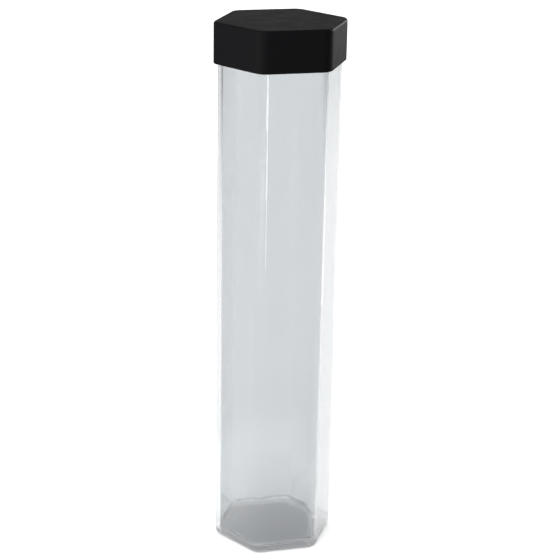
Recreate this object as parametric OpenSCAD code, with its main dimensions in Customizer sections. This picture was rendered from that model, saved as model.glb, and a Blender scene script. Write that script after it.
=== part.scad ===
// Clear six-sided tube with a push-on cap, which holds one rolled play mat.
// The tube stands on its base with its axis along Z. A corner of the hexagon points along +X,
// so two flats face along +Y and -Y. All sizes are in millimetres.

/* [Overall] */
// Height of the closed tube, from the surface it stands on to the top of the cap
total_h = 370; // [200:1:600]

/* [Sleeve] */
// Width of the sleeve across its flats
sleeve_af = 75; // [60:0.5:120]
// Thickness of the sleeve's wall on its flats
sleeve_wall = 2.5; // [1.2:0.1:3]
// Radius of the sleeve's upright corners, measured outside
sleeve_corner_r = 8.5; // [6.5:0.25:14]
// Radius of the same corners, measured inside: the wall is a little thicker there
sleeve_in_r = 9.5; // [6:0.25:14]

/* [Base] */
// Height of the rim that carries the sleeve's lower end
rim_h = 6; // [4.5:0.25:12]
// Radius along the rim's lower outer edge
rim_edge_r = 3.5; // [1:0.25:4]
// Height of the lip that stands inside the sleeve, above the rim
lip_h = 2.5; // [1.5:0.25:8]
// Thickness of the lip at its top
lip_wall = 0.4; // [0.3:0.1:2]
// Width of the slope from the lip's top down to the floor
slope_w = 4.8; // [2:0.2:6]
// Gap for the bond between the lip and the sleeve
bond_gap = 0.05; // [0.02:0.01:0.2]
// Height of the floor that the mat stands on
floor_z = 3.7; // [2.5:0.1:4.4]
// Width of the flat ring that the tube stands on
foot_w = 3.5; // [1.5:0.25:8]
// Radius of the corners of the hollow inside that ring
foot_corner_r = 5; // [1:0.5:12]
// Depth of the hollow under the floor
foot_recess = 0.8; // [0.3:0.1:1.2]
// Diameter of the round dish in the middle of the hollow
gate_dish_d = 44; // [10:1:46]
// Depth of the round dish
gate_dish_depth = 0.4; // [0.1:0.1:0.8]

/* [Cap] */
// Height of the cap, with its roof
cap_h = 27.8; // [15:0.2:60]
// Thickness of the cap's skirt
cap_wall = 2.4; // [1.6:0.1:4]
// Thickness of the cap's roof
cap_roof = 2.5; // [2:0.1:5]
// Gap between the sleeve and the inside of the skirt
cap_clear = 0.3; // [0.2:0.05:0.6]
// Radius of the cap's upright corners, measured outside
cap_corner_r = 9.5; // [7:0.25:12]
// Radius around the cap's top edge
cap_edge_r = 1.8; // [0.5:0.1:2.4]
// Radius around the skirt's lower outer edge
cap_rim_r = 0.8; // [0.2:0.1:0.9]
// Height of the flare inside the skirt's mouth, which guides the sleeve in
lead_in_h = 1.5; // [0.5:0.1:3]
// Width of that flare
lead_in_w = 0.6; // [0.2:0.1:0.7]

/* [Grip ribs] */
// Width of one rib inside the skirt
rib_w = 1.6; // [0.8:0.1:3]
// Distance between the two ribs on a flat
rib_pitch = 18; // [6:1:24]
// Gap between a rib and the sleeve
rib_clear = 0.1; // [0.05:0.01:0.15]
// Gap between the lower end of a rib and the skirt's lower edge
rib_setback = 6; // [3:0.5:10]

/* [Hidden] */
SIDES = 6;
STEP = 360 / SIDES;
HALF_STEP = STEP / 2;
// Smoothness of true curves, of the corners of blended shapes and of their rounded edges
$fn = 96;
BLEND_FN = 48;
EDGE_FN = 24;
// Extra length of a cut past the face it opens
cut = 1;
// How far a corner's round stands past the flats, so that the two meet at an edge
seam = 0.001;

// Heights
lip_z = rim_h + lip_h;
mouth_z = total_h - cap_roof;
cap_z = total_h - cap_h;

// Corner centres of the sleeve's outside, of its inside, of the cap's outside and of the hollow in
// the foot. The lip follows the sleeve's inside, and the cap's socket its outside.
core = corner_core(sleeve_af, sleeve_corner_r);
bore_core = corner_core(sleeve_af - 2 * sleeve_wall, sleeve_in_r);
cap_core = corner_core(sleeve_af + 2 * (cap_clear + cap_wall), cap_corner_r);
foot_core = corner_core(sleeve_af - 2 * (rim_edge_r + foot_w), foot_corner_r);
lip_out_r = sleeve_in_r - bond_gap;
lip_in_r = lip_out_r - lip_wall;
socket_r = sleeve_corner_r + cap_clear;

// Where the slope would be, at the end of the cut above the lip
slope_over = slope_w * cut / (lip_z - floor_z);

// Distance from the axis to the corner centres of a hexagon of width af with corners of radius r
function corner_core(af, r) = (af / 2 - r) / cos(HALF_STEP);

// Puts a copy on each corner centre
module at_corners(c) {
    for (k = [0 : SIDES - 1])
        rotate(k * STEP)
            translate([c, 0, 0])
                children();
}

// Outline of a hexagon with round corners of radius r about centres c from the axis
module rounded_hex(c, r) {
    polygon([
        for (k = [0 : SIDES - 1], turn = [-HALF_STEP, HALF_STEP])
            c * [cos(k * STEP), sin(k * STEP)] + r * [cos(k * STEP + turn), sin(k * STEP + turn)]
    ]);
    at_corners(c)
        circle(r + seam);
}

// Straight prism on that outline
module hex_prism(c, r, z0, z1) {
    translate([0, 0, z0])
        linear_extrude(z1 - z0)
            rounded_hex(c, r);
}

// Half of a ring whose outer edge has radius r, for the rounded edge of a blend: its upper half
// where up is true, else its lower half. What would reach past the ring's own axis is left off.
module edge_ring(r, edge, z, up) {
    translate([0, 0, z])
        rotate_extrude($fn = BLEND_FN)
            intersection() {
                translate([r - edge, 0])
                    circle(edge, $fn = EDGE_FN);
                translate([0, up ? 0 : -edge])
                    square([r, edge]);
            }
}

// Prism on the same outline with its lower and upper edges rounded, where their radii aren't 0
module hex_blend(c, r, z0, z1, low = 0, high = 0) {
    hull()
        at_corners(c) {
            translate([0, 0, z0 + low])
                cylinder(r = r, h = z1 - high - z0 - low, $fn = BLEND_FN);
            if (low > 0)
                edge_ring(r, low, z0 + low, up = false);
            if (high > 0)
                edge_ring(r, high, z1 - high, up = true);
        }
}

// Prism whose corner radius changes from r0 at z0 to r1 at z1
module hex_flare(c, r0, r1, z0, z1) {
    hull()
        at_corners(c)
            translate([0, 0, z0])
                cylinder(r1 = r0, r2 = r1, h = z1 - z0, $fn = BLEND_FN);
}

// Clear extruded sleeve, open at both ends
module tube_sleeve() {
    color([0.82, 0.85, 0.86, 0.4])
        translate([0, 0, rim_h])
            linear_extrude(mouth_z - rim_h)
                difference() {
                    rounded_hex(core, sleeve_corner_r);
                    rounded_hex(bore_core, sleeve_in_r);
                }
}

// Clear moulded base: a rounded rim under the sleeve, a tapered lip inside it and a floor
module tube_base() {
    color([0.70, 0.73, 0.75, 0.5])
        difference() {
            union() {
                hex_blend(core, sleeve_corner_r, 0, rim_h, low = rim_edge_r);
                hex_prism(bore_core, lip_out_r, floor_z, lip_z);
            }
            hex_flare(bore_core, lip_in_r - slope_w, lip_in_r + slope_over, floor_z, lip_z + cut);
            hex_prism(foot_core, foot_corner_r, -cut, foot_recess);
            translate([0, 0, -cut])
                cylinder(d = gate_dish_d, h = cut + foot_recess + gate_dish_depth);
        }
}

// Ribs inside the skirt that grip the sleeve's flats, two on each
module grip_ribs() {
    flat = sleeve_af / 2 + rib_clear;
    proud = cap_clear - rib_clear;
    for (k = [0 : SIDES - 1], side = [-1, 1])
        rotate(HALF_STEP + k * STEP)
            translate([flat, side * rib_pitch / 2 - rib_w / 2, cap_z + rib_setback])
                cube([proud + cap_wall / 2, rib_w, cap_h - rib_setback - cap_roof / 2]);
}

// Black cap that pushes over the sleeve's mouth and stops on its roof
module push_cap() {
    color([0.11, 0.11, 0.12]) {
        difference() {
            hex_blend(cap_core, cap_corner_r, cap_z, total_h, low = cap_rim_r, high = cap_edge_r);
            hex_prism(core, socket_r, cap_z - cut, mouth_z);
            hex_flare(core, socket_r + lead_in_w, socket_r, cap_z, cap_z + lead_in_h);
        }
        grip_ribs();
    }
}

tube_sleeve();
tube_base();
push_cap();
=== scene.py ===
"""Clear six-sided playmat tube with a black push-on cap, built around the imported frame."""

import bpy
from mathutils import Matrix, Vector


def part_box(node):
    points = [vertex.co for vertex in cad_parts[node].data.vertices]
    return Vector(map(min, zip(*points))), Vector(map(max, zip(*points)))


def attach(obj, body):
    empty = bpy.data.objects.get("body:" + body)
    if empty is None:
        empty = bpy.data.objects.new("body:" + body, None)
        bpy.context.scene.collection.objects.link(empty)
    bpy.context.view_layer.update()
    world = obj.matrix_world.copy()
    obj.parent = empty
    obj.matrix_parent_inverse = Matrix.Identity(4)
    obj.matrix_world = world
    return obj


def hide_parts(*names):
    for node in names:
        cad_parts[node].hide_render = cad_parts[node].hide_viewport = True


bl_info = {
    "name": "Clear six-sided playmat tube",
    "version": (1, 0, 0),
    "blender": (4, 5, 0),
    "location": "3D View > Sidebar > Playmat tube",
    "description": "Models the clear sleeve, its moulded base and its black cap, and sets up a pale studio",
    "category": "Add Mesh",
}

import math
from collections import namedtuple

import bmesh
import bpy
from bpy.props import FloatProperty, FloatVectorProperty, PointerProperty
from mathutils import Matrix, Vector

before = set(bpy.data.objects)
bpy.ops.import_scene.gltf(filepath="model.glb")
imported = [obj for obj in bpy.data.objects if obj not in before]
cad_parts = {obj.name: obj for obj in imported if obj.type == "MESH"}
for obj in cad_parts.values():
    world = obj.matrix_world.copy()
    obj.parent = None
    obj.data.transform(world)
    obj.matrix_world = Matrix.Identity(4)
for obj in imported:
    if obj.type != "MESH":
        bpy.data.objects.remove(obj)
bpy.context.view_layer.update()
SLEEVE_LOW, SLEEVE_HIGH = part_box("tube_sleeve")
_, BASE_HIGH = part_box("tube_base")
CAP_LOW, CAP_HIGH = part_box("push_cap")

MM = 0.001
SIDES = 6
STEP = math.radians(360 / SIDES)
HALF_STEP = STEP / 2
# Facets in one rounded corner of the hexagon, and points in the whole outline
CORNER_FACETS = 16
OUTLINE_POINTS = SIDES * (CORNER_FACETS + 1)

# Two heights or distances closer than this are the same
NEAR = 2e-6
# The same, for points that an inset or a resize has moved
MOVED_NEAR = 10 * NEAR
# Two directions around the axis closer than this are the same
SAME_TURN = 1e-4
# Points closer than this are merged
MERGE = 1e-6
# Z of a face's normal: more than the first on a level face, less than the second on an upright one
LEVEL = 0.9
UPRIGHT = 0.1
# A face looks along a direction where the two differ so little that their product is more than this
LOOKS_ALONG = 0.999
# Edges that turn by less than this look smooth
SMOOTH_BELOW = math.radians(30)

# Refraction of the clear plastic and of the black one
CLEAR_IOR = 1.5
BLACK_IOR = 1.45
# Most values of a noise lie between these two
NOISE_LOW = 0.3
NOISE_HIGH = 0.7
# Height in which the frost of the base's underside gives way to clear plastic
FROST_FADE = 0.4 * MM

# Width of the camera's sensor in millimetres
SENSOR_WIDTH = 36
# Length of the floor's sides in metres
FLOOR_SIZE = 40
# Air between the floor and the foot, so that the two faces don't lie in one plane
FLOOR_GAP = 0.05 * MM
# Height of the lamps that lie on the floor, and their turn from facing down
STRIP_HEIGHT = 3 * MM
FACING_UP = 180
# Spread of a lamp without a hood
ALL_ROUND = 180


def length(name, description, default):
    """A size in metres that a user may change."""
    return FloatProperty(
        name=name, description=description, default=default, min=0.0, precision=5, unit="LENGTH"
    )


def share(name, description, default):
    """A value from 0 to 1."""
    return FloatProperty(
        name=name, description=description, default=default, min=0.0, max=1.0, subtype="FACTOR"
    )


def colour(name, description, default):
    """A colour in linear light."""
    return FloatVectorProperty(
        name=name, description=description, default=default, min=0.0, max=1.0, size=3, subtype="COLOR"
    )


def power(name, description, default):
    """The power of a lamp."""
    return FloatProperty(name=name, description=description, default=default, min=0.0, unit="POWER")


def brightness(name, description, default):
    """The strength of the sky."""
    return FloatProperty(name=name, description=description, default=default, min=0.0)


def turn(name, description, degrees):
    """An angle, whose default is given in degrees."""
    return FloatProperty(
        name=name, description=description, default=math.radians(degrees), subtype="ANGLE"
    )


class PLAYTUBE_PG_sleeve(bpy.types.PropertyGroup):
    """Sizes of the clear sleeve, which the base and the cap follow."""

    across_flats: length("Width across flats", "Outer width of the sleeve", SLEEVE_HIGH[1] - SLEEVE_LOW[1])
    corner: length("Corner radius", "Outer radius of the upright corners", 8.5 * MM)
    wall: length("Wall", "Thickness of the sleeve's wall on its flats", 2.5 * MM)
    bore_corner: length("Bore corner", "Inner radius of the upright corners", 9.5 * MM)
    low: length("Lower end", "Height of the sleeve's lower end", SLEEVE_LOW[2])
    mouth: length("Mouth", "Height of the sleeve's open upper end", SLEEVE_HIGH[2])
    seat_gap: length("Seat gap", "Air left at both ends of the sleeve", 0.02 * MM)
    end_edge: length("End edge", "Rounding of the cut ends", 0.1 * MM)


class PLAYTUBE_PG_base(bpy.types.PropertyGroup):
    """Sizes of the moulded base."""

    rim_edge: length("Rim edge", "Radius along the rim's lower outer edge", 3.5 * MM)
    joint_edge: length("Joint edge", "Rounding of the rim's upper edge and of the lip's foot", 0.06 * MM)
    bond_gap: length("Bond gap", "Gap between the lip and the sleeve", 0.05 * MM)
    lip_top: length("Lip top", "Height of the lip inside the sleeve", BASE_HIGH[2])
    lip_wall: length("Lip wall", "Thickness of the lip at its top", 0.4 * MM)
    lip_edge: length("Lip edge", "Rounding of the lip's upper edges", 0.1 * MM)
    slope_width: length("Slope width", "Width of the slope from the lip down to the floor", 4.8 * MM)
    slope_edge: length("Slope edge", "Rounding where the slope meets the floor", 1.0 * MM)
    floor: length("Floor", "Height of the floor that the mat stands on", 3.7 * MM)
    foot_width: length("Foot width", "Width of the ring that the tube stands on", 3.5 * MM)
    foot_corner: length("Foot corner", "Corner radius of the hollow in the foot", 5 * MM)
    foot_recess: length("Foot recess", "Depth of the hollow in the foot", 0.8 * MM)
    dish_radius: length("Dish radius", "Radius of the round dish in the hollow", 22 * MM)
    dish_depth: length("Dish depth", "Depth of the round dish", 0.4 * MM)


class PLAYTUBE_PG_cap(bpy.types.PropertyGroup):
    """Sizes of the push-on cap."""

    low: length("Lower end", "Height of the skirt's lower edge", CAP_LOW[2])
    top: length("Top", "Height of the cap's top", CAP_HIGH[2])
    clearance: length("Clearance", "Gap between the sleeve and the skirt", 0.3 * MM)
    wall: length("Wall", "Thickness of the skirt on its flats", 2.4 * MM)
    corner: length("Corner radius", "Outer radius of the upright corners", 9.5 * MM)
    top_edge: length("Top edge", "Radius around the top", 1.8 * MM)
    rim_edge: length("Rim edge", "Radius around the skirt's lower outer edge", 0.8 * MM)
    flare_height: length("Flare height", "Height of the flare inside the skirt's mouth", 1.5 * MM)
    flare_width: length("Flare width", "Width of that flare", 0.6 * MM)
    rib_width: length("Rib width", "Width of a grip rib", 1.6 * MM)
    rib_pitch: length("Rib pitch", "Distance between the two ribs on a flat", 18 * MM)
    rib_setback: length("Rib setback", "Height of a rib's lower end above the skirt's edge", 6 * MM)
    rib_clearance: length("Rib clearance", "Gap between a rib and the sleeve", 0.1 * MM)


class PLAYTUBE_PG_finish(bpy.types.PropertyGroup):
    """Colours and finishes of the pieces and of the floor."""

    sleeve_tint: colour("Sleeve tint", "Tint of the clear sleeve", (0.654, 0.67, 0.682))
    sleeve_roughness: share("Sleeve roughness", "Roughness of the clear sleeve", 0.012)
    base_tint: colour("Base tint", "Tint of the clear base", (0.99, 0.994, 0.998))
    base_roughness: share("Base roughness", "Roughness of the moulded base", 0.06)
    frost: share("Frost", "Roughness of the base's underside", 0.5)
    lip_pale: colour("Lip", "Colour of the cloudy lip and floor", (0.97, 0.975, 0.98))
    lip_clarity: share("Lip clarity", "Share of light that the cloudy lip and floor let through", 0.4)
    lip_fade: length("Lip fade", "Height in which the cloudy lip thins out to clear", 3 * MM)
    # Painted light band on the lip's outer wall: how far below the lip's top it has thinned out to clear
    light_band_drop: length("Light band drop", "How far below the lip's top the bonded face is clear", 0.5 * MM)
    cap_black: colour("Cap black", "Colour of the soft black cap", (0.002, 0.002, 0.0023))
    cap_roughness: share("Cap roughness", "Roughness of the soft black", 0.56)
    cap_sheen: share("Cap sheen", "Strength of the reflections on the soft black", 0.021)
    floor_pale: colour("Floor", "Colour of the studio floor", (0.95, 0.95, 0.95))
    # Painted shade: the floor turns to this grey beside the pale lane and behind the tube
    floor_painted_shade: colour("Floor painted shade", "Colour of the floor behind and far out", (0.25, 0.25, 0.25))


class PLAYTUBE_PG_studio(bpy.types.PropertyGroup):
    """The camera's place, taken from the photograph's outline, the floor's pale lane with its painted
    shade, and the lamps.
    """

    focal: FloatProperty(
        name="Focal length", description="Lens on a 36 mm sensor", default=105.742, unit="CAMERA"
    )
    distance: length("Distance", "From the middle of the tube to the camera", 1.13442)
    elevation: turn("Elevation", "Height of the camera above the horizon", 19.3647)
    side: turn("Side", "How far round to the left of the front flat the camera stands", 14.4607)
    pan: turn("Pan", "Turn of the view to the side", 0.1184)
    tilt: turn("Tilt", "Turn of the view up or down", 0.2308)
    roll: turn("Roll", "Turn of the view about its own axis", -1.0121)
    # Where the painted shade lies on the floor: the pale lane, and the grey beside and behind it
    lane_shift: length("Lane shift", "How far the pale lane lies to the right of the tube", 0.12)
    lane_half: length("Lane half", "From the lane's middle to where the floor starts to turn grey", 0.4)
    lane_grey: length("Lane grey", "From the lane's middle to where the floor is grey", 1.4)
    lane_depth: length("Lane depth", "How far behind the tube the floor's sides are grey", 0.8)
    right_key: power("Right key", "Narrow lamp on the right, turned to the cap", 0.225)
    left_key: power("Left key", "Narrow lamp on the left, turned to the cap", 0.32)
    front_key: power("Front key", "Soft lamp in front, turned to the base", 5.0)
    left_low: power("Left low", "Narrow lamp on the left, turned to the base", 0.01)
    back_low: power("Back low", "Narrow lamp behind, turned to the base", 0.045)
    back_pool: power("Back pool", "Soft lamp above the floor far behind", 1.32)
    right_strip: power("Right strip", "Long lamp that lies on the floor on the right", 1.8)
    near_strip: power("Near strip", "Narrow lamp that lies on the floor in front", 0.29)
    middle_strip: power("Middle strip", "Wider lamp that lies beyond it", 1.2)
    far_strip: power("Far strip", "Widest lamp that lies beyond both", 3.7)
    sky_low: brightness("Low sky", "Brightness at the horizon", 0.46)
    sky_high: brightness("High sky", "Brightness overhead", 1.87)


# A lamp's place in degrees around the tube from +X, its distance, height, width and depth in metres, and in
# degrees its turn from facing down towards the tube and its spread
Lamp = namedtuple("Lamp", "around away height width depth turned spread")


def square_lamp(around, away, height, size, turned, spread):
    """A lamp that stands above the height of the tube."""
    return Lamp(around, away, height, size, size, turned, spread)


def floor_strip(around, away, width, depth):
    """A lamp that lies on the floor and faces up."""
    return Lamp(around, away, STRIP_HEIGHT, width, depth, FACING_UP, ALL_ROUND)


# The lamps, by the names of their powers
LAMPS = {
    "right_key": square_lamp(around=30, away=0.7, height=0.44, size=0.12, turned=84, spread=30),
    "left_key": square_lamp(around=200, away=0.7, height=0.44, size=0.12, turned=84, spread=30),
    "front_key": square_lamp(around=235, away=1.1, height=0.5, size=0.4, turned=65, spread=ALL_ROUND),
    "left_low": square_lamp(around=190, away=0.6, height=0.5, size=0.2, turned=50, spread=6),
    "back_low": square_lamp(around=105, away=0.6, height=0.5, size=0.2, turned=50, spread=6),
    "back_pool": square_lamp(around=88, away=1.7, height=0.8, size=1.0, turned=0, spread=ALL_ROUND),
    "right_strip": floor_strip(around=17, away=1.05, width=0.26, depth=1.1),
    "near_strip": floor_strip(around=274, away=0.78, width=0.07, depth=0.26),
    "middle_strip": floor_strip(around=273, away=1.08, width=0.18, depth=0.34),
    "far_strip": floor_strip(around=271, away=1.46, width=0.42, depth=0.42),
}


def settings(context, piece):
    """The group of settings of a piece, of the finishes or of the studio."""
    return getattr(context.scene, "playtube_" + piece)


def corner_core(half_width, radius):
    """Distance from the axis to the corner centres of a hexagon of that half width across flats."""
    return (half_width - radius) / math.cos(HALF_STEP)


def sleeve_cores(sleeve):
    """The same distance for the sleeve's outside and for its bore."""
    half = sleeve.across_flats / 2
    return corner_core(half, sleeve.corner), corner_core(half - sleeve.wall, sleeve.bore_corner)


def direction(angle):
    """The level direction at that angle around the axis."""
    return Vector((math.cos(angle), math.sin(angle), 0))


def deselect_all():
    """Leaves edit mode with nothing selected."""
    if bpy.context.mode != "OBJECT":
        bpy.ops.object.mode_set(mode="OBJECT")
    bpy.ops.object.select_all(action="DESELECT")


def pick(kind, test):
    """Selects just the visible parts of one kind, in the mesh being edited, that pass the test."""
    bpy.ops.mesh.select_mode(type=kind)
    bpy.ops.mesh.select_all(action="DESELECT")
    mesh = bpy.context.edit_object.data
    edited = bmesh.from_edit_mesh(mesh)
    parts = {"VERT": edited.verts, "EDGE": edited.edges, "FACE": edited.faces}[kind]
    found = [part for part in parts if not part.hide and test(part)]
    if not found:
        raise RuntimeError("Nothing to select on " + bpy.context.edit_object.name)
    for part in found:
        part.select_set(True)
    bmesh.update_edit_mesh(mesh)


def at_height(z):
    """A test for edges and faces that lie flat at one height."""
    return lambda part: all(abs(v.co.z - z) < NEAR for v in part.verts)


def facing(z, up):
    """A test for level faces at one height that face up or down."""
    level = at_height(z)
    way = 1 if up else -1
    return lambda face: level(face) and way * face.normal.z > LEVEL


def whole_outline(up):
    """A test for the level face that fills a whole outline and faces up or down."""
    way = 1 if up else -1
    return lambda face: len(face.verts) == OUTLINE_POINTS and way * face.normal.z > LEVEL


def crease_at(z):
    """A test for sharp edges that lie flat at one height."""
    level = at_height(z)
    return lambda edge: level(edge) and len(edge.link_faces) == 2 and edge.calc_face_angle() > SMOOTH_BELOW


def open_at(z):
    """A test for edges at one height that have a face on one side at most."""
    level = at_height(z)
    return lambda edge: level(edge) and len(edge.link_faces) < 2


def close_outline(core, radius, z):
    """Parts the visible circle into six corners and joins them with flats, as an outline at that height."""
    pick("VERT", lambda v: abs(math.atan2(v.co.y, v.co.x)) > HALF_STEP + SAME_TURN)
    bpy.ops.mesh.delete(type="VERT")
    bpy.ops.mesh.select_all(action="SELECT")
    bpy.ops.transform.translate(value=(core, 0, z))
    bpy.ops.mesh.spin(
        steps=SIDES - 1, dupli=True, angle=STEP * (SIDES - 1), center=(0, 0, 0), axis=(0, 0, 1)
    )
    reach = core * math.cos(HALF_STEP) + radius
    for k in range(SIDES):
        out = direction(HALF_STEP + k * STEP)
        pick("VERT", lambda v: abs(v.co.dot(out) - reach) < NEAR)
        bpy.ops.mesh.edge_face_add()
    bpy.ops.mesh.select_all(action="SELECT")


def move_corners(z, core, radius, new_core, new_radius):
    """Gives the round corners of the outline at one height new centres and a new radius."""
    size = new_radius / radius
    for k in range(SIDES):
        out = direction(k * STEP)
        centre = core * out

        def on_corner(v):
            return abs(v.co.z - z) < NEAR and abs((v.co.xy - centre.xy).length - radius) < MOVED_NEAR

        pick("VERT", on_corner)
        bpy.ops.transform.translate(value=(new_core - core) * out)
        middle = new_core * out + Vector((0, 0, z))
        bpy.ops.transform.resize(value=(size, size, 1), center_override=middle)


def start_hexagon(name, materials, core, radius, z):
    """Starts a piece as one level face with the outline of a round-cornered hexagon, in edit mode."""
    deselect_all()
    bpy.ops.mesh.primitive_circle_add(vertices=SIDES * CORNER_FACETS, radius=radius)
    piece = bpy.context.object
    piece.name = piece.data.name = name
    for material in materials:
        piece.data.materials.append(material)
    bpy.ops.object.mode_set(mode="EDIT")
    close_outline(core, radius, z)
    bpy.ops.mesh.edge_face_add()
    return piece


def extrude(dz):
    """Extrudes the selected faces straight up or down."""
    bpy.ops.mesh.extrude_region_move(TRANSFORM_OT_translate={"value": (0, 0, dz)})


def inset(thickness, depth=0.0):
    """Insets the selected faces evenly, and raises or sinks them by the depth."""
    bpy.ops.mesh.inset(thickness=thickness, depth=depth, use_even_offset=True)


def round_edges(radius, facets):
    """Rounds the selected edges."""
    bpy.ops.mesh.bevel(
        offset=radius,
        offset_type="OFFSET",
        segments=facets,
        profile=0.5,
        affect="EDGES",
        clamp_overlap=False,
    )


def face_outwards():
    """Turns every face of a closed mesh outwards."""
    bpy.ops.mesh.select_all(action="SELECT")
    bpy.ops.mesh.normals_make_consistent(inside=False)


def finish_piece(piece, body, node):
    """Smooths a modelled piece and ties it to the frame."""
    bpy.ops.mesh.select_all(action="SELECT")
    bpy.ops.mesh.remove_doubles(threshold=MERGE)
    face_outwards()
    bpy.ops.object.mode_set(mode="OBJECT")
    bpy.ops.object.shade_smooth_by_angle(angle=SMOOTH_BELOW)
    bpy.ops.object.modifier_add(type="WEIGHTED_NORMAL")
    weighted = piece.modifiers[-1]
    weighted.keep_sharp = True
    bpy.ops.object.modifier_apply(modifier=weighted.name)
    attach(piece, body)
    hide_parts(node)
    deselect_all()


def new_material(name):
    """A new node material, with its node tree and its shader."""
    material = bpy.data.materials.new(name)
    material.use_nodes = True
    tree = material.node_tree
    return material, tree, tree.nodes["Principled BSDF"]


def add_node(tree, kind, **values):
    """Adds a node and sets its plain values and its unlinked sockets."""
    node = tree.nodes.new(kind)
    for key, value in values.items():
        if key in node.inputs:
            node.inputs[key].default_value = value
        else:
            setattr(node, key, value)
    return node


def object_place(tree):
    """The place of a point in the piece's own coordinates."""
    return add_node(tree, "ShaderNodeTexCoord").outputs["Object"]


def split(tree, vector):
    """The X, Y and Z of a vector, by name."""
    node = add_node(tree, "ShaderNodeSeparateXYZ")
    tree.links.new(vector, node.inputs["Vector"])
    return node.outputs


def calculate(tree, operation, *values):
    """The result of one operation on the values."""
    node = add_node(tree, "ShaderNodeMath", operation=operation)
    for socket, value in zip(node.inputs, values):
        tree.links.new(value, socket)
    return node.outputs["Value"]


def map_range(tree, value, low, high, start=0.0, end=1.0):
    """A number that goes from low to high as the value goes from start to end."""
    node = add_node(
        tree,
        "ShaderNodeMapRange",
        **{"From Min": start, "From Max": end, "To Min": low, "To Max": high},
    )
    tree.links.new(value, node.inputs["Value"])
    return node.outputs["Result"]


def mix_colours(tree, factor, low, high):
    """A colour that goes from low to high with a factor."""
    mix = add_node(tree, "ShaderNodeMix", data_type="RGBA", A=(*low, 1), B=(*high, 1))
    tree.links.new(factor, mix.inputs["Factor"])
    return mix.outputs["Result"]


def shaded(shade, by):
    """A colour made darker or lighter."""
    return [min(1.0, part * by) for part in shade]


def patchy_colour(tree, patches, shade, darkest, lightest):
    """A colour that goes with the patches from its darkest to its lightest share of a shade."""
    return mix_colours(tree, patches, shaded(shade, darkest), shaded(shade, lightest))


def patchy(tree, patches, low, high):
    """A number that goes from low to high with the patches."""
    return map_range(tree, patches, low, high, NOISE_LOW, NOISE_HIGH)


def unevenness_group():
    """Unevenness that all the finishes share: soft patches as a mask, and a fine grain as a height."""
    name = "moulded_unevenness"
    group = bpy.data.node_groups.get(name)
    if group:
        return group
    group = bpy.data.node_groups.new(name, "ShaderNodeTree")
    group.interface.new_socket("Vector", in_out="INPUT", socket_type="NodeSocketVector")
    for socket in ("Patch Scale", "Grain Scale"):
        group.interface.new_socket(socket, in_out="INPUT", socket_type="NodeSocketFloat")
    for socket in ("Patches", "Grain"):
        group.interface.new_socket(socket, in_out="OUTPUT", socket_type="NodeSocketFloat")
    given = group.nodes.new("NodeGroupInput")
    result = group.nodes.new("NodeGroupOutput")
    patches = add_node(group, "ShaderNodeTexNoise", Detail=4.0, Roughness=0.6)
    grain = add_node(group, "ShaderNodeTexNoise", Detail=2.0, Roughness=0.5)
    join = group.links.new
    for noise, scale, made in ((patches, "Patch Scale", "Patches"), (grain, "Grain Scale", "Grain")):
        join(given.outputs["Vector"], noise.inputs["Vector"])
        join(given.outputs[scale], noise.inputs["Scale"])
        join(noise.outputs["Fac"], result.inputs[made])
    return group


def add_unevenness(tree, place, patch_scale, grain_scale=0.0):
    """Places the shared unevenness in a material, and gives its patches and its grain."""
    node = add_node(tree, "ShaderNodeGroup", node_tree=unevenness_group())
    node.inputs["Patch Scale"].default_value = patch_scale
    node.inputs["Grain Scale"].default_value = grain_scale
    tree.links.new(place, node.inputs["Vector"])
    return node.outputs["Patches"], node.outputs["Grain"]


def clear_plastic(name, tint, roughness, z_scale, frost=0.0, frost_top=0.0):
    """Clear plastic, a little uneven in tint and gloss, in patches that a small z_scale draws out along Z.

    Below the height frost_top, its roughness is frost."""
    material, tree, shader = new_material(name)
    join = tree.links.new
    place = object_place(tree)
    drawn = add_node(tree, "ShaderNodeMapping", Scale=(1, 1, z_scale))
    join(place, drawn.inputs["Vector"])
    patches, _ = add_unevenness(tree, drawn.outputs["Vector"], patch_scale=60.0)
    varied = patchy_colour(tree, patches, tint, darkest=0.988, lightest=1.012)
    join(varied, shader.inputs["Base Color"])
    gloss = patchy(tree, patches, low=roughness * 0.3, high=roughness * 1.7)
    frosted = map_range(tree, split(tree, place)["Z"], frost, 0.0, frost_top, frost_top + FROST_FADE)
    join(calculate(tree, "MAXIMUM", gloss, frosted), shader.inputs["Roughness"])
    shader.inputs["Metallic"].default_value = 0.0
    shader.inputs["Transmission Weight"].default_value = 1.0
    shader.inputs["IOR"].default_value = CLEAR_IOR
    return material


def cloudy_plastic(name, shade, clarity, clear_from, fade):
    """Pale, cloudy plastic that thins out upwards over the height fade, until it is clear at clear_from."""
    material, tree, shader = new_material(name)
    join = tree.links.new
    place = object_place(tree)
    patches, _ = add_unevenness(tree, place, patch_scale=120.0)
    varied = patchy_colour(tree, patches, shade, darkest=0.96, lightest=1.0)
    join(varied, shader.inputs["Base Color"])
    join(patchy(tree, patches, low=0.75, high=0.95), shader.inputs["Roughness"])
    thinned = map_range(tree, split(tree, place)["Z"], 1.0, 0.0, clear_from - fade, clear_from)
    join(thinned, shader.inputs["Alpha"])
    shader.inputs["Metallic"].default_value = 0.0
    shader.inputs["Transmission Weight"].default_value = clarity
    shader.inputs["IOR"].default_value = CLEAR_IOR
    return material


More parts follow.
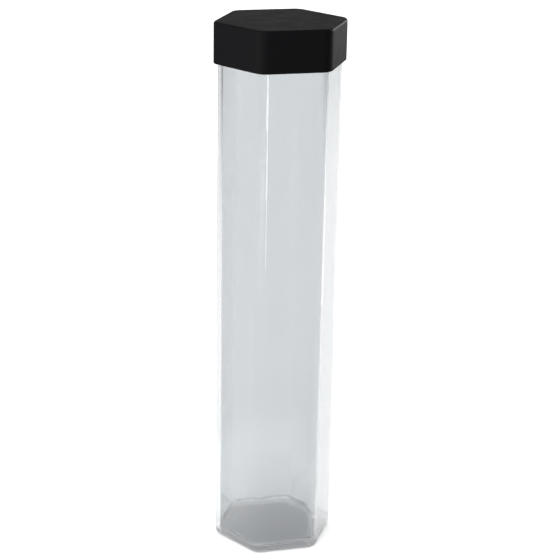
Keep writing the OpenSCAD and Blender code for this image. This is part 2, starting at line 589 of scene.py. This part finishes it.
def soft_black(name, shade, roughness, sheen):
    """Matte black moulding with a fine, even grain."""
    material, tree, shader = new_material(name)
    join = tree.links.new
    patches, grain = add_unevenness(tree, object_place(tree), patch_scale=90.0, grain_scale=2600.0)
    varied = patchy_colour(tree, patches, shade, darkest=0.85, lightest=1.2)
    join(varied, shader.inputs["Base Color"])
    rough = patchy(tree, patches, low=roughness - 0.05, high=roughness + 0.05)
    join(rough, shader.inputs["Roughness"])
    bump = add_node(tree, "ShaderNodeBump", Strength=0.25, Distance=0.03 * MM)
    join(grain, bump.inputs["Height"])
    join(bump.outputs["Normal"], shader.inputs["Normal"])
    shader.inputs["Metallic"].default_value = 0.0
    shader.inputs["IOR"].default_value = BLACK_IOR
    shader.inputs["Specular IOR Level"].default_value = sheen
    return material


def floor_paint(name, finish, studio):
    """Matte floor with a pale lane and painted shade. The floor turns grey on both sides of the lane behind
    the tube, which darkens what the tube reflects and shows through.
    """
    material, tree, shader = new_material(name)
    join = tree.links.new
    place = object_place(tree)
    # The lane runs straight back from where the photograph was taken
    lane = add_node(
        tree, "ShaderNodeMapping", Location=(-studio.lane_shift, 0, 0), Rotation=(0, 0, studio.side)
    )
    join(place, lane.inputs["Vector"])
    parts = split(tree, lane.outputs["Vector"])
    aside = calculate(tree, "ABSOLUTE", parts["X"])
    outside = map_range(tree, aside, 0.0, 1.0, studio.lane_half, studio.lane_grey)
    behind = map_range(tree, parts["Y"], 0.0, 1.0, 0.0, studio.lane_depth)
    # Painted shade, grey beside the lane and behind the tube
    grey = calculate(tree, "MULTIPLY", outside, behind)
    join(mix_colours(tree, grey, finish.floor_pale, finish.floor_painted_shade), shader.inputs["Base Color"])
    cloud = add_node(tree, "ShaderNodeTexNoise", Scale=3.0, Detail=3.0)
    join(place, cloud.inputs["Vector"])
    join(map_range(tree, cloud.outputs["Fac"], low=0.85, high=0.95), shader.inputs["Roughness"])
    return material


class PLAYTUBE_OT_sleeve(bpy.types.Operator):
    """Models the clear six-sided sleeve, open at both ends"""

    bl_idname = "playtube.sleeve"
    bl_label = "Clear sleeve"

    def execute(self, context):
        sleeve = settings(context, "sleeve")
        finish = settings(context, "finish")
        low = sleeve.low + sleeve.seat_gap
        mouth = sleeve.mouth - sleeve.seat_gap
        core, bore_core = sleeve_cores(sleeve)
        clear = clear_plastic(
            "clear extruded plastic", finish.sleeve_tint, finish.sleeve_roughness, z_scale=0.01
        )
        piece = start_hexagon("clear_sleeve", [clear], core, sleeve.corner, low)
        extrude(mouth - low)
        face_outwards()
        pick("FACE", lambda f: abs(f.normal.z) > LEVEL)
        inset(sleeve.wall)
        for end in (low, mouth):
            move_corners(end, core, sleeve.corner - sleeve.wall, bore_core, sleeve.bore_corner)
        pick("FACE", lambda f: len(f.verts) == OUTLINE_POINTS)
        bpy.ops.mesh.bridge_edge_loops()
        for end in (low, mouth):
            pick("EDGE", crease_at(end))
            round_edges(sleeve.end_edge, facets=3)
        finish_piece(piece, "tube", "tube_sleeve")
        return {"FINISHED"}


class PLAYTUBE_OT_base(bpy.types.Operator):
    """Models the clear base: rim, lip, floor and hollow foot"""

    bl_idname = "playtube.base"
    bl_label = "Moulded base"

    def execute(self, context):
        sleeve = settings(context, "sleeve")
        base = settings(context, "base")
        core, _ = sleeve_cores(sleeve)
        materials = self.finishes(base, settings(context, "finish"))
        piece = start_hexagon("moulded_base", materials, core, sleeve.corner, 0)
        extrude(sleeve.low)
        face_outwards()
        self.raise_lip(sleeve, base)
        self.assign_finishes(piece, sleeve, base)
        self.soften_edges(sleeve, base)
        self.hollow_foot(sleeve, base)
        finish_piece(piece, "tube", "tube_base")
        return {"FINISHED"}

    def finishes(self, base, finish):
        """The clear finish, the cloudy finish and the painted light band, in the order of their slots."""
        clear = clear_plastic(
            "clear moulded plastic",
            finish.base_tint,
            finish.base_roughness,
            z_scale=1.0,
            frost=finish.frost,
            frost_top=base.foot_recess + base.dish_depth,
        )
        cloudy = cloudy_plastic(
            "cloudy moulded plastic", finish.lip_pale, finish.lip_clarity, base.lip_top, finish.lip_fade
        )
        # Painted light band: an opaque pale face on the lip's outer wall, which lets no light through where
        # it is thick
        opaque = 0.0
        light_band = cloudy_plastic(
            "bonded face", finish.lip_pale, opaque, base.lip_top - finish.light_band_drop, finish.lip_fade
        )
        return clear, cloudy, light_band

    def raise_lip(self, sleeve, base):
        """Raises the lip on the rim, and sinks the floor inside it down a slope."""
        core, bore_core = sleeve_cores(sleeve)
        rim_top = sleeve.low
        step = sleeve.wall + base.bond_gap
        pick("FACE", facing(rim_top, up=True))
        inset(step)
        move_corners(rim_top, core, sleeve.corner - step, bore_core, sleeve.bore_corner - base.bond_gap)
        pick("FACE", whole_outline(up=True))
        extrude(base.lip_top - rim_top)
        inset(base.lip_wall)
        inset(base.slope_width, base.floor - base.lip_top)

    def assign_finishes(self, piece, sleeve, base):
        """Makes the seat, the lip, its slope and the floor cloudy, and gives the lip's outer wall the
        painted light band.
        """
        rim_top = sleeve.low
        on_floor = facing(base.floor, up=True)

        def is_cloudy(face):
            return face.calc_center_median().z > rim_top - NEAR or on_floor(face)

        # The lip's outer wall, which carries the painted light band
        def on_light_band(face):
            return abs(face.normal.z) < UPRIGHT and face.calc_center_median().z > rim_top

        for slot, test in ((1, is_cloudy), (2, on_light_band)):
            pick("FACE", test)
            piece.active_material_index = slot
            bpy.ops.object.material_slot_assign()

    def soften_edges(self, sleeve, base):
        """Rounds the edges of the slope, the lip and the rim."""
        for height, radius, facets in (
            (base.floor, base.slope_edge, 4),
            (base.lip_top, base.lip_edge, 3),
            (0, base.rim_edge, 12),
            (sleeve.low, base.joint_edge, 2),
        ):
            pick("EDGE", crease_at(height))
            round_edges(radius, facets)

    def hollow_foot(self, sleeve, base):
        """Sinks the hollow in the foot, which has corners of its own, and a round dish in its roof."""
        core, _ = sleeve_cores(sleeve)
        step = base.rim_edge + base.foot_width
        foot_core = corner_core(sleeve.across_flats / 2 - step, base.foot_corner)
        pick("FACE", facing(0, up=False))
        inset(base.foot_width)
        move_corners(0, core, sleeve.corner - step, foot_core, base.foot_corner)
        pick("FACE", whole_outline(up=False))
        extrude(base.foot_recess)
        bpy.ops.mesh.delete(type="ONLY_FACE")
        bpy.ops.mesh.primitive_circle_add(
            vertices=OUTLINE_POINTS, radius=base.dish_radius, location=(0, 0, base.foot_recess)
        )
        pick("EDGE", open_at(base.foot_recess))
        bpy.ops.mesh.fill()
        pick("EDGE", open_at(base.foot_recess))
        bpy.ops.mesh.edge_face_add()
        extrude(base.dish_depth)


class PLAYTUBE_OT_cap(bpy.types.Operator):
    """Models the black cap with its flared mouth and grip ribs"""

    bl_idname = "playtube.cap"
    bl_label = "Push-on cap"

    def execute(self, context):
        sleeve = settings(context, "sleeve")
        cap = settings(context, "cap")
        finish = settings(context, "finish")
        cap_core = corner_core(sleeve.across_flats / 2 + cap.clearance + cap.wall, cap.corner)
        black = soft_black("soft black moulding", finish.cap_black, finish.cap_roughness, finish.cap_sheen)
        piece = start_hexagon("soft_black_cap", [black], cap_core, cap.corner, cap.low)
        extrude(cap.top - cap.low)
        face_outwards()
        pick("EDGE", crease_at(cap.top))
        round_edges(cap.top_edge, facets=10)
        pick("EDGE", crease_at(cap.low))
        round_edges(cap.rim_edge, facets=6)
        self.sink_socket(sleeve, cap, cap_core)
        self.add_ribs(sleeve, cap)
        finish_piece(piece, "cap", "push_cap")
        return {"FINISHED"}

    def sink_socket(self, sleeve, cap, cap_core):
        """Sinks the socket for the sleeve into the cap, with a flare at its mouth."""
        core, _ = sleeve_cores(sleeve)
        ledge = cap.wall - cap.rim_edge - cap.flare_width
        flared = sleeve.corner + cap.clearance + cap.flare_width
        pick("FACE", facing(cap.low, up=False))
        inset(ledge)
        move_corners(cap.low, cap_core, cap.corner - cap.rim_edge - ledge, core, flared)
        pick("FACE", whole_outline(up=False))
        inset(cap.flare_width, -cap.flare_height)
        extrude(sleeve.mouth - cap.low - cap.flare_height)

    def add_ribs(self, sleeve, cap):
        """Raises two ribs on each flat inside the skirt."""
        flat = sleeve.across_flats / 2 + cap.clearance
        foot = cap.low + cap.rib_setback
        edges = [
            side * cap.rib_pitch / 2 + edge * cap.rib_width / 2 for side in (-1, 1) for edge in (-1, 1)
        ]
        for k in range(SIDES):
            out = direction(HALF_STEP + k * STEP)
            along = Vector((-out.y, out.x, 0))

            def on_flat(face):
                middle = face.calc_center_median()
                return face.normal.dot(out) < -LOOKS_ALONG and abs(middle.dot(out) - flat) < MOVED_NEAR

            def on_rib(face):
                middle = face.calc_center_median()
                place = abs(abs(middle.dot(along)) - cap.rib_pitch / 2)
                return on_flat(face) and middle.z > foot and place < cap.rib_width / 2

            for offset in edges:
                pick("FACE", on_flat)
                bpy.ops.mesh.bisect(plane_co=along * offset, plane_no=along)
            pick("FACE", on_flat)
            bpy.ops.mesh.bisect(plane_co=(0, 0, foot), plane_no=(0, 0, 1))
            pick("FACE", on_rib)
            raised = out * (cap.rib_clearance - cap.clearance)
            bpy.ops.mesh.extrude_region_move(TRANSFORM_OT_translate={"value": raised})


class PLAYTUBE_OT_stage(bpy.types.Operator):
    """Sets up the pale floor with its painted shade, the soft lamps and the camera"""

    bl_idname = "playtube.stage"
    bl_label = "Studio"

    def execute(self, context):
        studio = settings(context, "studio")
        scene = context.scene
        self.add_floor(settings(context, "finish"), studio)
        self.add_sky(scene, studio)
        for name, lamp in LAMPS.items():
            self.add_lamp(name, getattr(studio, name), lamp)
        self.add_camera(scene, studio)
        scene.view_settings.view_transform = "Standard"
        # Light runs on inside the clear walls for many reflections
        scene.cycles.max_bounces = 64
        scene.cycles.glossy_bounces = 48
        scene.cycles.transmission_bounces = 48
        scene.cycles.diffuse_bounces = 12
        return {"FINISHED"}

    def add_floor(self, finish, studio):
        """Lays the floor just under the foot."""
        deselect_all()
        bpy.ops.mesh.primitive_plane_add(size=FLOOR_SIZE, location=(0, 0, -FLOOR_GAP))
        floor = bpy.context.object
        floor.name = "studio_floor"
        bpy.ops.object.transform_apply(location=True)
        floor.data.materials.append(floor_paint("pale studio floor", finish, studio))

    def add_sky(self, scene, studio):
        """Makes white surroundings that are brighter overhead than at the horizon."""
        world = bpy.data.worlds.new("soft surroundings")
        world.use_nodes = True
        tree = world.node_tree
        background = tree.nodes["Background"]
        background.inputs["Color"].default_value = (1, 1, 1, 1)
        outwards = add_node(tree, "ShaderNodeTexCoord").outputs["Generated"]
        rise = map_range(tree, split(tree, outwards)["Z"], studio.sky_low, studio.sky_high)
        tree.links.new(rise, background.inputs["Strength"])
        scene.world = world

    def add_lamp(self, name, watts, lamp):
        """Adds a lamp that the camera doesn't see by itself."""
        swing = Matrix.Rotation(math.radians(lamp.around - 90), 3, "Z")
        aim = swing @ Matrix.Rotation(math.radians(-lamp.turned), 3, "X")
        place = swing @ Vector((0, lamp.away, lamp.height))
        deselect_all()
        bpy.ops.object.light_add(type="AREA", location=place, rotation=aim.to_euler())
        added = bpy.context.object
        added.name = added.data.name = name
        added.data.shape = "RECTANGLE"
        added.data.size = lamp.width
        added.data.size_y = lamp.depth
        added.data.energy = watts
        added.data.spread = math.radians(lamp.spread)
        added.visible_camera = False
        # The strips on the floor show as reflections only
        added.visible_transmission = lamp.turned != FACING_UP

    def add_camera(self, scene, studio):
        """Stands the camera off the tube's middle, and then turns its view a little about its own axes."""
        middle = Matrix.Translation((0, 0, CAP_HIGH[2] / 2))
        around = Matrix.Rotation(-studio.side, 4, "Z")
        above = Matrix.Rotation(math.radians(90) - studio.elevation, 4, "X")
        back = Matrix.Translation((0, 0, studio.distance))
        pan = Matrix.Rotation(-studio.pan, 4, "Y")
        tilt = Matrix.Rotation(studio.tilt, 4, "X")
        roll = Matrix.Rotation(-studio.roll, 4, "Z")
        deselect_all()
        bpy.ops.object.camera_add()
        camera = bpy.context.object
        camera.name = camera.data.name = "photo_camera"
        camera.data.sensor_width = SENSOR_WIDTH
        camera.data.lens = studio.focal
        camera.matrix_world = middle @ around @ above @ back @ pan @ tilt @ roll
        scene.camera = camera


class PLAYTUBE_PT_panel(bpy.types.Panel):
    """Lists the pieces and their settings."""

    bl_idname = "PLAYTUBE_PT_panel"
    bl_label = "Playmat tube"
    bl_space_type = "VIEW_3D"
    bl_region_type = "UI"
    bl_category = "Playmat tube"

    def draw(self, context):
        for piece, operator in STEPS:
            box = self.layout.box()
            box.operator(operator.bl_idname)
            self.list_settings(box, settings(context, piece))
        self.list_settings(self.layout.box(), settings(context, "finish"))

    def list_settings(self, box, group):
        """Lists the settings of one group."""
        for name in group.__annotations__:
            box.prop(group, name)


GROUPS = {
    "sleeve": PLAYTUBE_PG_sleeve,
    "base": PLAYTUBE_PG_base,
    "cap": PLAYTUBE_PG_cap,
    "finish": PLAYTUBE_PG_finish,
    "studio": PLAYTUBE_PG_studio,
}
STEPS = (
    ("sleeve", PLAYTUBE_OT_sleeve),
    ("base", PLAYTUBE_OT_base),
    ("cap", PLAYTUBE_OT_cap),
    ("studio", PLAYTUBE_OT_stage),
)
CLASSES = (*GROUPS.values(), *(operator for _, operator in STEPS), PLAYTUBE_PT_panel)


def register():
    for cls in CLASSES:
        bpy.utils.register_class(cls)
    for piece, group in GROUPS.items():
        setattr(bpy.types.Scene, "playtube_" + piece, PointerProperty(type=group))


def unregister():
    for piece in GROUPS:
        delattr(bpy.types.Scene, "playtube_" + piece)
    for cls in reversed(CLASSES):
        bpy.utils.unregister_class(cls)


def main():
    register()
    bpy.ops.playtube.sleeve()
    bpy.ops.playtube.base()
    bpy.ops.playtube.cap()
    bpy.ops.playtube.stage()


if __name__ == "__main__":
    main()
